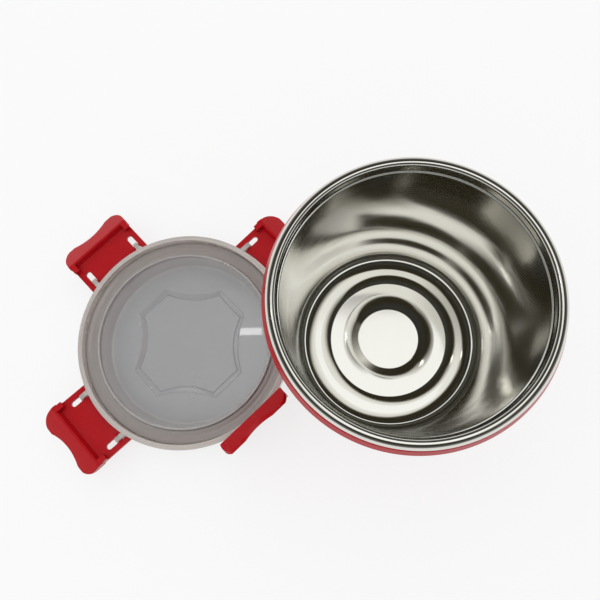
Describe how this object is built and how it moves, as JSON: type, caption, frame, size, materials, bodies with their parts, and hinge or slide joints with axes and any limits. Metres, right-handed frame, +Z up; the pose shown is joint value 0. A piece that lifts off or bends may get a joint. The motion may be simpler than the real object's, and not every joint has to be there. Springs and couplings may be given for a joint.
{
  "type": "lunch pot with snap lid",
  "caption": "Round lunch pot with a steel bowl in a plastic shell, and a translucent snap lid with hinged flaps, shown taken off and laid upside down beside it.",
  "frame": {"origin": "centre of the pot's base, on the surface it stands on", "axes": "+Z up along the pot's axis, +X from the lid towards the pot, +Y away from the viewer"},
  "size_m": [0.2802, 0.1671, 0.13],
  "materials": {
    "shell_plastic": "glossy moulded",
    "bowl_steel": "polished",
    "seal_rubber": "soft",
    "lid_plastic": "translucent",
    "gasket_silicone": "translucent soft",
    "flap_plastic": "glossy moulded"
  },
  "bodies": {
    "pot": {"outer_shell": "shell_plastic", "steel_bowl": "bowl_steel", "rim_seal": "seal_rubber"},
    "lid": {"lid_cover": "lid_plastic", "lid_gasket": "gasket_silicone"},
    "flap_back_right": {"flap_back_right": "flap_plastic"},
    "flap_back_left": {"flap_back_left": "flap_plastic"},
    "flap_front_left": {"flap_front_left": "flap_plastic"},
    "flap_front_right": {"flap_front_right": "flap_plastic"}
  },
  "joints": [
    {"name": "lid_turn_over", "type": "hinge", "parent": "pot", "child": "lid", "pos_m": [-0.06435, 0, 0.0925], "axis": [0, 1, 0], "range_deg": [0, 180]},
    {"name": "flap_back_right_hinge", "type": "hinge", "parent": "lid", "child": "flap_back_right", "pos_m": [-0.07768, 0.04792, 0.0144], "axis": [0.6845, -0.729, 0], "range_deg": [0, 90]},
    {"name": "flap_back_left_hinge", "type": "hinge", "parent": "lid", "child": "flap_back_left", "pos_m": [-0.17662, 0.05103, 0.0144], "axis": [0.729, 0.6845, 0], "range_deg": [0, 86]},
    {"name": "flap_front_left_hinge", "type": "hinge", "parent": "lid", "child": "flap_front_left", "pos_m": [-0.17973, -0.04792, 0.0144], "axis": [-0.6845, 0.729, 0], "range_deg": [0, 84]},
    {"name": "flap_front_right_hinge", "type": "hinge", "parent": "lid", "child": "flap_front_right", "pos_m": [-0.08078, -0.05103, 0.0144], "axis": [-0.729, -0.6845, 0], "range_deg": [-87.5, 4.5]}
  ]
}
